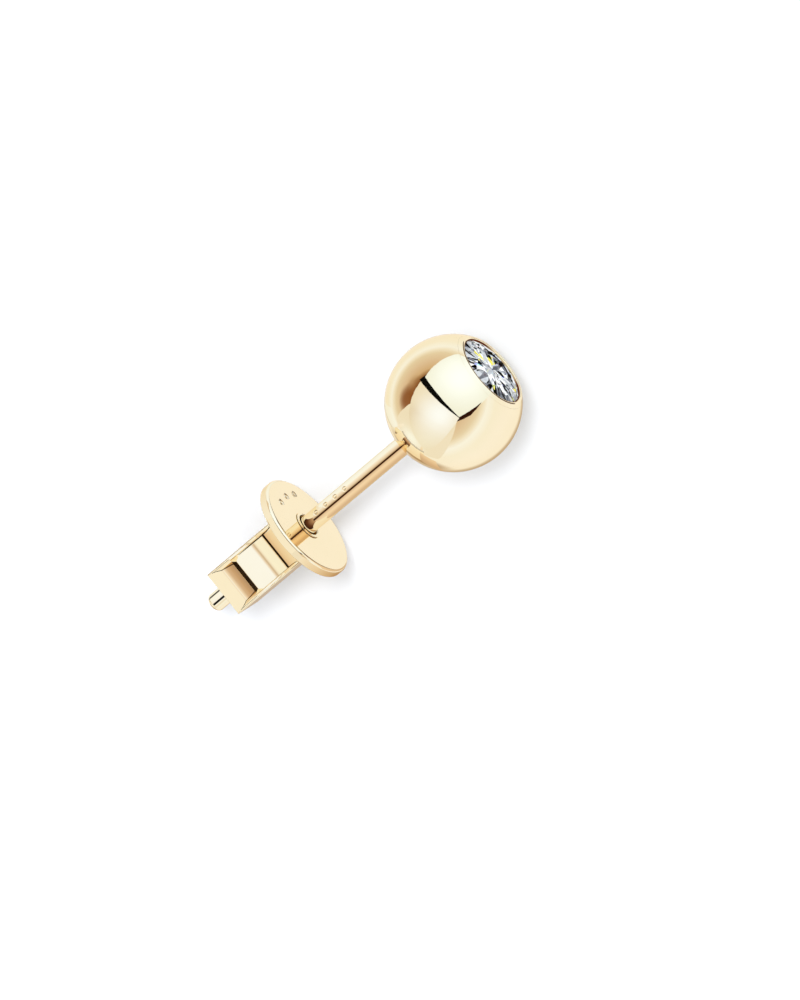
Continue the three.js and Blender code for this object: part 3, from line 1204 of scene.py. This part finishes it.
def sight(polar_deg: float, azimuth_deg: float) -> Array:
    """The direction at an angle from straight up, and an angle from +X towards +Y."""
    polar, azimuth = math.radians(polar_deg), math.radians(azimuth_deg)
    return np.array([math.sin(polar) * math.cos(azimuth), math.sin(polar) * math.sin(azimuth),
                     math.cos(polar)])


def staged(name: str, mesh: Mesh, material: Material) -> Object:
    """A mesh dressed and linked as a part of the studio."""
    mesh.materials.append(material)
    made = bpy.data.objects.new(name, mesh)
    bpy.context.scene.collection.objects.link(made)
    return made


def shine(name: str, back: tuple | None) -> Material:
    """A material that shines at a card's own levels; its back is plain, or clear for None."""
    material = bpy.data.materials.new(name)
    n = Tree(material)
    front = n.add("Emission", n.add("Attribute", attribute_name="level").outputs["Color"])
    rear = n.add("BsdfTransparent") if back is None else n.add("Emission", (*back, 1.0))
    side = n.add("NewGeometry").outputs["Backfacing"]
    pick = n.add("MixShader", side, front.outputs[0], rear.outputs[0])
    n.add("OutputMaterial", pick.outputs[0])
    return material


def card(name: str, points: Array, faces: list, level: Array, back: tuple | None) -> None:
    """Make a card that is seen in reflections only.

    Args:
        name: the card's name.
        points: its points in the row frame.
        faces: its faces.
        level: (n, 3) the light at each point, none where it is negative.
        back: what its back shines, or None for a clear one.
    """
    mesh = bpy.data.meshes.new(name)
    mesh.from_pydata(points, [], faces)
    layer = mesh.attributes.new("level", "FLOAT_COLOR", "POINT")
    colour = np.column_stack([np.maximum(level, 0.0), np.ones(len(level))])
    layer.data.foreach_set("color", colour.ravel())
    made = staged(name, mesh, shine(name, back))
    made.visible_camera = made.visible_shadow = made.visible_diffuse = False


@dataclass(frozen=True)
class Glow:
    """A soft spot of light on a panel, about one sight line; a negative gain is a shade."""

    polar: float
    azimuth: float
    spread_deg: float
    gain: tuple


@dataclass(frozen=True)
class SoftBox:
    """A flat four-cornered panel, lit by soft spots, or a plain dark flag.

    Each corner is a (polar, azimuth) sight line from the ball, and lies where that line meets the
    panel's plane. The level seen along a direction is the base plus, for each glow, its gain times
    exp(-(angle from the glow / its spread)^2).
    """

    name: str
    faces: tuple
    corners: tuple
    base: tuple = (0.004, 0.004, 0.004)
    glows: tuple = ()
    back: tuple = (0.0, 0.0, 0.0)
    away: float = 0.6
    cells: int = 32

    def build(self, centre: Array) -> None:
        """Make the panel round the ball's centre."""
        lines = np.array([sight(*corner) for corner in self.corners])
        corners = lines * (self.away / (lines @ sight(*self.faces)))[:, None]
        if np.cross(corners[1] - corners[0], corners[2] - corners[0]) @ corners[0] > 0:
            corners = corners[::-1]
        share = np.linspace(0.0, 1.0, self.cells + 1)
        u, v = (grid[..., None] for grid in np.meshgrid(share, share))
        patch = ((1 - u) * (1 - v) * corners[0] + u * (1 - v) * corners[1]
                 + u * v * corners[2] + (1 - u) * v * corners[3]).reshape(-1, 3)
        unit = patch / np.linalg.norm(patch, axis=1, keepdims=True)
        level = np.tile(self.base, (len(patch), 1)).astype(float)
        for glow in self.glows:
            angle = np.degrees(np.arccos(np.clip(unit @ sight(glow.polar, glow.azimuth), -1, 1)))
            level += np.exp(-((angle / glow.spread_deg) ** 2))[:, None] * glow.gain
        faces = grid_faces(self.cells + 1, self.cells + 1, wrap_columns=False)
        card(self.name, centre + patch, faces, level, self.back)


@dataclass(frozen=True)
class NearCard:
    """A small card close to the stud, seen from one side only, and only in reflections.

    It is a rectangle from a corner along one axis of the stud's frame and by a width. Its level
    follows its stops, straight from one to the next: each is a place on that axis, then red, green
    and blue in per cent.
    """

    name: str
    corner: tuple
    axis: Axis
    width: tuple
    faces: tuple
    stops: tuple

    def build(self, frame: StudFrame) -> None:
        """Make the card."""
        stops = np.repeat(self.stops, 2, axis=0)
        side = np.tile([0.0, 1.0], len(self.stops))[:, None]
        points = np.array(self.corner) + side * self.width
        points[:, self.axis.value] += stops[:, 0] - stops[0, 0]
        faces = grid_faces(len(self.stops), 2, wrap_columns=False)
        a, b, c = points[faces[0][:3]]
        if np.cross(b - a, c - b) @ self.faces < 0:
            faces = [face[::-1] for face in faces]
        card(self.name, frame.place(points), faces, stops[:, 1:] / 100.0, None)


@dataclass(frozen=True)
class Shade:
    """A soft patch of another tone on the surround, about one sight line."""

    polar: float
    azimuth: float
    reach_deg: float
    tone: tuple
    share: float


@dataclass
class Studio:
    """A pale floor in a soft surround, soft boxes with a dark gap, and the camera.

    The left box is a small one that leans close over the post, with a far one behind it, which
    the clutch mirrors. Small cards lie close over the post, its tip and the grip.
    """

    frame: StudFrame
    reach: float = 0.4
    tilt_deg: float = 22.7
    side_deg: float = 3.0
    roll_deg: float = 40.0
    ball_share: float = 0.0693
    right_share: float = 0.0535
    above_share: float = 0.097
    ball_r_m: float = 0.003
    sensor_mm: float = 36.0
    floor_size: float = 3.0
    floor_z: float = -0.00002
    floor_tone: tuple = (0.836, 0.858, 0.9)
    key_watts: float = 1.2
    key_polar: float = 19.4
    key_azimuth: float = 31.0
    key_away: float = 0.6
    key_size: float = 0.2
    fill: float = 1.13
    dim_side: tuple = (0.0, 0.45, 0.893)
    surround: tuple = (
        (-0.86, (0.12, 0.045, 0.012)), (-0.79, (0.25, 0.105, 0.03)), (-0.72, (0.48, 0.31, 0.17)),
        (-0.668, (0.658, 0.486, 0.313)), (-0.45, (0.737, 0.606, 0.48)),
        (-0.22, (0.79, 0.72, 0.6)), (-0.08, (0.9, 0.9, 0.88)), (0.05, (0.96, 1.04, 1.18)),
        (0.3, (0.95, 0.98, 1.0)), (0.67, (0.98, 1.0, 1.05)))
    shades: tuple = (
        Shade(65, 112, 19, (0.3, 0.14, 0.06), 0.5),
        Shade(68, 133, 22, (0.24, 0.08, 0.02), 0.9),
        Shade(122, 190, 24, (0.4, 0.24, 0.1), 0.9),
        Shade(158, 208, 27, (0.5, 0.38, 0.26), 0.85),
    )
    boxes: tuple = (
        SoftBox("soft_box_right", (50, 0), ((63.2, 89), (29, -68), (88, -23), (101, 48)),
                (0.86, 0.95, 0.98), (Glow(62, 25, 50, (0.2, 0.3, 0.62)),)),
        SoftBox("soft_box_near", (78, 180), ((59.4, 97.6), (29.5, -70.5), (73, 203), (52, 137)),
                (0.86, 0.84, 0.77), (Glow(10, 200, 32, (0.15, 0.32, 0.75)),
                                     Glow(48, 150, 12, (-0.08, -0.12, -0.16)),
                                     Glow(78, 182, 14, (0.08, 0.2, 0.36))),
                (0.52, 0.38, 0.27), away=0.0089),
        SoftBox("soft_box_far", (45, 180), ((60, 137), (28, -74), (99, 212), (97, 158)),
                (0.88, 0.87, 0.84), (Glow(28, 180, 14, (0.1, 0.2, 0.3)),
                                     Glow(85, 180, 14, (0.1, 0.22, 0.4))), away=1.0),
        SoftBox("dark_gap", (10, 90), ((66, 87), (66, 99), (31, -74), (31, -62)), away=1.3),
        SoftBox("dark_flag", (50, -40), ((30, -86), (29, -67), (66, -31), (46, -56)),
                (0.03, 0.008, 0.004), away=0.56),
        SoftBox("low_flag", (125, 0), ((101, 33), (101, -33), (139, -47), (139, 47)),
                (0.1, 0.045, 0.02)),
    )
    near_cards: tuple = (
        NearCard("card_over_curl", (-14.2, -1.2, 1.36), Axis.X, (0, 2.4, 0), (0, 0, -1), (
            (-14.2, 97, 98, 98), (-12.95, 97, 98, 98), (-12.86, 90, 84, 80), (-12.8, 98, 108, 130),
            (-11.82, 98, 108, 130), (-11.72, 80, 72, 66), (-11.66, 62, 50, 40),
            (-11.58, 90, 90, 88), (-11.5, 96, 100, 100), (-10.5, 95, 96, 95))),
        NearCard("card_beside_slot", (-12.8, -0.97, 0.86), Axis.Z, (0, 1.94, 0), (-1, 0, 0), (
            (0.86, 62, 44, 30), (1.05, 68, 52, 40), (1.25, 88, 80, 74), (1.36, 95, 94, 92))),
        NearCard("card_in_slot", (-12.64, -0.97, 0.7), Axis.Z, (0, 1.94, 0), (-1, 0, 0), (
            (0.7, 45, 32, 24), (0.9, 58, 40, 26), (1.36, 66, 50, 37))),
        NearCard("card_at_shoulder", (-10.8, -0.97, 0.8), Axis.Z, (0, 1.94, 0), (1, 0, 0), (
            (0.8, 72, 52, 36), (1.0, 85, 70, 52), (1.4, 93, 88, 74))),
        NearCard("card_over_rim", (-10.5, -1.0, 3.2), Axis.Y, (1.4, 0, 0), (0, 0, -1), (
            (-1.0, 95, 95, 93), (3.0, 95, 95, 93))),
        NearCard("card_inner_edge", (-12.3, -0.9, 0.9), Axis.Z, (2.7, 0, 0.06), (0, 1, 0), (
            (0.9, 80, 60, 42), (1.04, 80, 60, 42), (1.055, 5, 2, 1), (1.1, 5, 2, 1),
            (1.115, 95, 97, 95), (1.15, 95, 97, 95))),
        NearCard("card_lower_edge", (-13.5, 0.9, 0.9), Axis.Z, (3.9, 0, 0), (0, -1, 0), (
            (0.9, 93, 92, 88), (1.19, 97, 105, 115))),
        NearCard("card_before_disc", (-8.97, -3.3, -2.5), Axis.Z, (0, 5.0, 0), (1, 0, 0), (
            (-2.5, 90, 80, 64), (0.6, 95, 88, 74), (2.0, 97, 95, 84), (2.12, 20, 12, 6),
            (2.2, 20, 12, 6), (2.27, 100, 108, 125), (2.36, 100, 108, 125), (2.43, 30, 20, 12),
            (2.5, 30, 20, 12))),
        NearCard("card_above_rim", (-11.2, 3.0, -1.0), Axis.Z, (2.1, 0, 0), (0, -1, 0), (
            (-1.0, 90, 86, 80), (4.2, 97, 100, 105))),
        NearCard("card_below_rim", (-11.2, -3.0, -2.9), Axis.Z, (2.1, 0, 0), (0, 1, 0), (
            (-2.9, 45, 28, 17), (-0.4, 55, 38, 24), (0.8, 70, 54, 38), (1.8, 84, 72, 58),
            (4.2, 93, 90, 85))),
        NearCard("card_at_disc", (-8.93, -0.7, 0.42), Axis.Z, (0, 1.4, 0), (1, 0, 0), (
            (0.42, 3, 1, 0.5), (0.8, 12, 4.5, 2), (1.3, 40, 24, 14), (2.02, 70, 52, 40))),
        NearCard("card_over_post", (-8.95, -2.6, 1.5), Axis.Y, (5.45, 0, 0), (0, 0, -1), (
            (-2.6, 88, 73, 57), (-1.23, 90, 77, 64), (-0.6, 80, 66, 54), (-0.33, 66, 46, 34),
            (-0.28, 4, 1.5, 0.6), (0.12, 4, 1.5, 0.6), (0.2, 50, 36, 26), (0.5, 80, 68, 58),
            (0.78, 87, 78, 70), (1.53, 94, 94, 97), (2.6, 96.5, 106, 122))),
        NearCard("card_below_post", (-8.95, -2.6, -2.6), Axis.Z, (5.45, 0, 0), (0, 1, 0), (
            (-2.6, 62, 48, 38), (0.0, 72, 55, 42), (1.5, 88, 73, 57))),
        NearCard("card_above_post", (-8.95, 2.6, -2.6), Axis.Z, (5.45, 0, 0), (0, -1, 0), (
            (-2.6, 72, 70, 68), (-1.2, 95, 104, 120), (1.5, 97, 108, 126))),
        NearCard("card_over_tip", (-15.6, -0.9, 1.5), Axis.Y, (1.5, 0, 0), (0, 0, -1), (
            (-0.9, 98, 105, 120), (-0.56, 98, 105, 120), (-0.52, 1, 1, 1), (0.06, 1, 1, 1),
            (0.1, 96, 100, 115), (0.9, 98, 108, 130))),
        NearCard("card_above_tip", (-15.6, 0.9, -0.6), Axis.Z, (1.5, 0, 0), (0, -1, 0), (
            (-0.6, 96, 105, 120), (0.1, 96, 105, 120), (0.16, 6, 5, 4), (0.4, 6, 5, 4),
            (0.48, 96, 105, 120), (1.5, 98, 108, 130))),
    )

    def floor(self) -> None:
        """A wide matt floor, which the polished metal does not mirror."""
        size, mesh = self.floor_size, bpy.data.meshes.new("floor")
        mesh.from_pydata([(-size, -size, 0), (size, -size, 0), (size, size, 0), (-size, size, 0)],
                         [], [(0, 1, 2, 3)])
        matt = Finish("floor_matt").dressed(Base_Color=(*self.floor_tone, 1.0), Roughness=0.9,
                                            Specular_IOR_Level=0.0)
        floor = staged("floor", mesh, matt)
        floor.location.z = self.floor_z
        floor.visible_glossy = False

    def key(self) -> None:
        """A soft lamp high over the stud, which lights the floor and casts the short shadow."""
        data = bpy.data.lights.new("key", "AREA")
        data.shape, data.size, data.energy = "DISK", self.key_size, self.key_watts
        lamp = bpy.data.objects.new("key", data)
        toward = Vector(sight(self.key_polar, self.key_azimuth))
        lamp.location = Vector(self.frame.centre) + toward * self.key_away
        lamp.rotation_euler = toward.to_track_quat("Z", "Y").to_euler()
        lamp.visible_glossy = lamp.visible_transmission = False
        bpy.context.scene.collection.objects.link(lamp)

    def world(self) -> None:
        """A soft surround, palest below and towards -Y and browner up towards +Y.

        The polished pieces mirror it; the matt floor gets an even fill instead.
        """
        world = bpy.data.worlds.new("surround")
        n = Tree(world)
        where = n.add("TexCoord").outputs["Generated"]

        def along(direction: list) -> NodeSocket:
            """How far each sight line points in a direction."""
            return n.add("VectorMath", where, direction, operation="DOT_PRODUCT").outputs["Value"]

        bands = n.add("ValToRGB", n.ramp(along([-part for part in self.dim_side]), -1.0, 1.0))
        stops = bands.color_ramp.elements
        for index, (place, colour) in enumerate(self.surround):
            stop = stops[index] if index < 2 else stops.new(1.0)
            stop.position = (place + 1.0) / 2.0
            stop.color = (*colour, 1.0)
        colour = bands.outputs["Color"]
        for shade in self.shades:
            edge = math.cos(math.radians(shade.reach_deg))
            near = n.ramp(along(list(sight(shade.polar, shade.azimuth))), edge, 1.0, 0.0,
                          shade.share, "SMOOTHSTEP")
            colour = n.mix(near, colour, shade.tone)
        filled = n.mix(n.add("LightPath").outputs["Is Diffuse Ray"], colour, (self.fill,) * 3)
        n.add("OutputWorld", n.add("Background", filled).outputs[0])
        bpy.context.scene.world = world

    def camera(self) -> None:
        """A long lens over the diamond's side of the stud, rolled so that the post runs down left.

        The camera looks at the ball's centre first; its direction then swings so that the ball
        sits right of and above the middle of the frame, by named shares of the frame's height.
        """
        tilt, side, roll = (math.radians(a) for a in (self.tilt_deg, self.side_deg, self.roll_deg))
        toward = np.array([math.sin(tilt), -math.sin(side) * math.cos(tilt),
                           math.cos(side) * math.cos(tilt)])
        back = Vector(self.frame.turn(toward))
        right = Vector(self.frame.along)
        right = (right - back * right.dot(back)).normalized()
        up = back.cross(right)
        across = right * math.cos(roll) - up * math.sin(roll)
        upright = right * math.sin(roll) + up * math.cos(roll)
        basis = Matrix((across, upright, back)).transposed()
        lens = self.ball_share * self.reach / self.ball_r_m
        off = Vector((self.right_share / lens, self.above_share / lens, -1.0)).normalized()
        swing = Vector((0.0, 0.0, -1.0)).rotation_difference(off).to_matrix()
        data = bpy.data.cameras.new("camera")
        data.lens, data.sensor_width = lens * self.sensor_mm, self.sensor_mm
        data.clip_start, data.clip_end = 0.01, 20.0
        camera = bpy.data.objects.new("camera", data)
        place = Matrix.Translation(Vector(self.frame.centre) + back * self.reach)
        camera.matrix_world = place @ (basis @ swing.inverted()).to_4x4()
        bpy.context.scene.collection.objects.link(camera)
        bpy.context.scene.camera = camera

    def build(self) -> None:
        """Set up the whole studio."""
        self.floor()
        self.world()
        self.key()
        for box in self.boxes:
            box.build(self.frame.centre)
        for near in self.near_cards:
            near.build(self.frame)
        self.camera()
        bpy.context.scene.view_settings.view_transform = "Standard"


# ---- assembly


def main() -> None:
    """Build and dress the earring, then the studio round it."""
    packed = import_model()
    frame = StudFrame.from_mount(packed["record"]["mounts"][0], along_mm=-9.0, up_mm=1.5)
    shop = Workshop(frame)
    gold = PolishedGold("gold_polished").material()
    clutch_gold = PolishedGold("gold_clutch", tone=(1.0, 0.86, 0.595)).material()
    stone = BrilliantFinish().material()
    ring, grip = SettingRing(), ClutchGrip()

    on_stud = (Body.STUD, Slot.GOLD)
    shop.piece("ball_with_post", [BallAndPost().shell()], *on_stud, gold, "ball_and_post")
    shop.piece("setting_ring", [ring.shell()], *on_stud, gold, "bezel_ring")
    shop.piece("lip_shade_liner", [ring.liner()], *on_stud, LipShadeGold().material(), "bezel_ring")
    Brilliant().build(shop, stone)

    on_clutch = (Body.CLUTCH, Slot.CLUTCH)
    shop.piece("disc_pad", [ClutchDisc().shell()], *on_clutch, clutch_gold, "clutch_disc")
    shop.piece("spring_grip", grip.shells(), *on_clutch, clutch_gold, "clutch_grip")
    # Painted shade: dark beads in the grip's creases and a dark sheet under its slot.
    shade_gold = PaintedShadeGold().material()
    for name, shells in (("leaf_crease_shades", grip.crease_shades()), ("inner_shade_sheet", [grip.shade_sheet()])):
        both = shells + [shell.half_turned() for shell in shells]
        shop.piece(name, both, *on_clutch, shade_gold, "clutch_grip")
    Studio(frame).build()


if __name__ == "__main__":
    main()
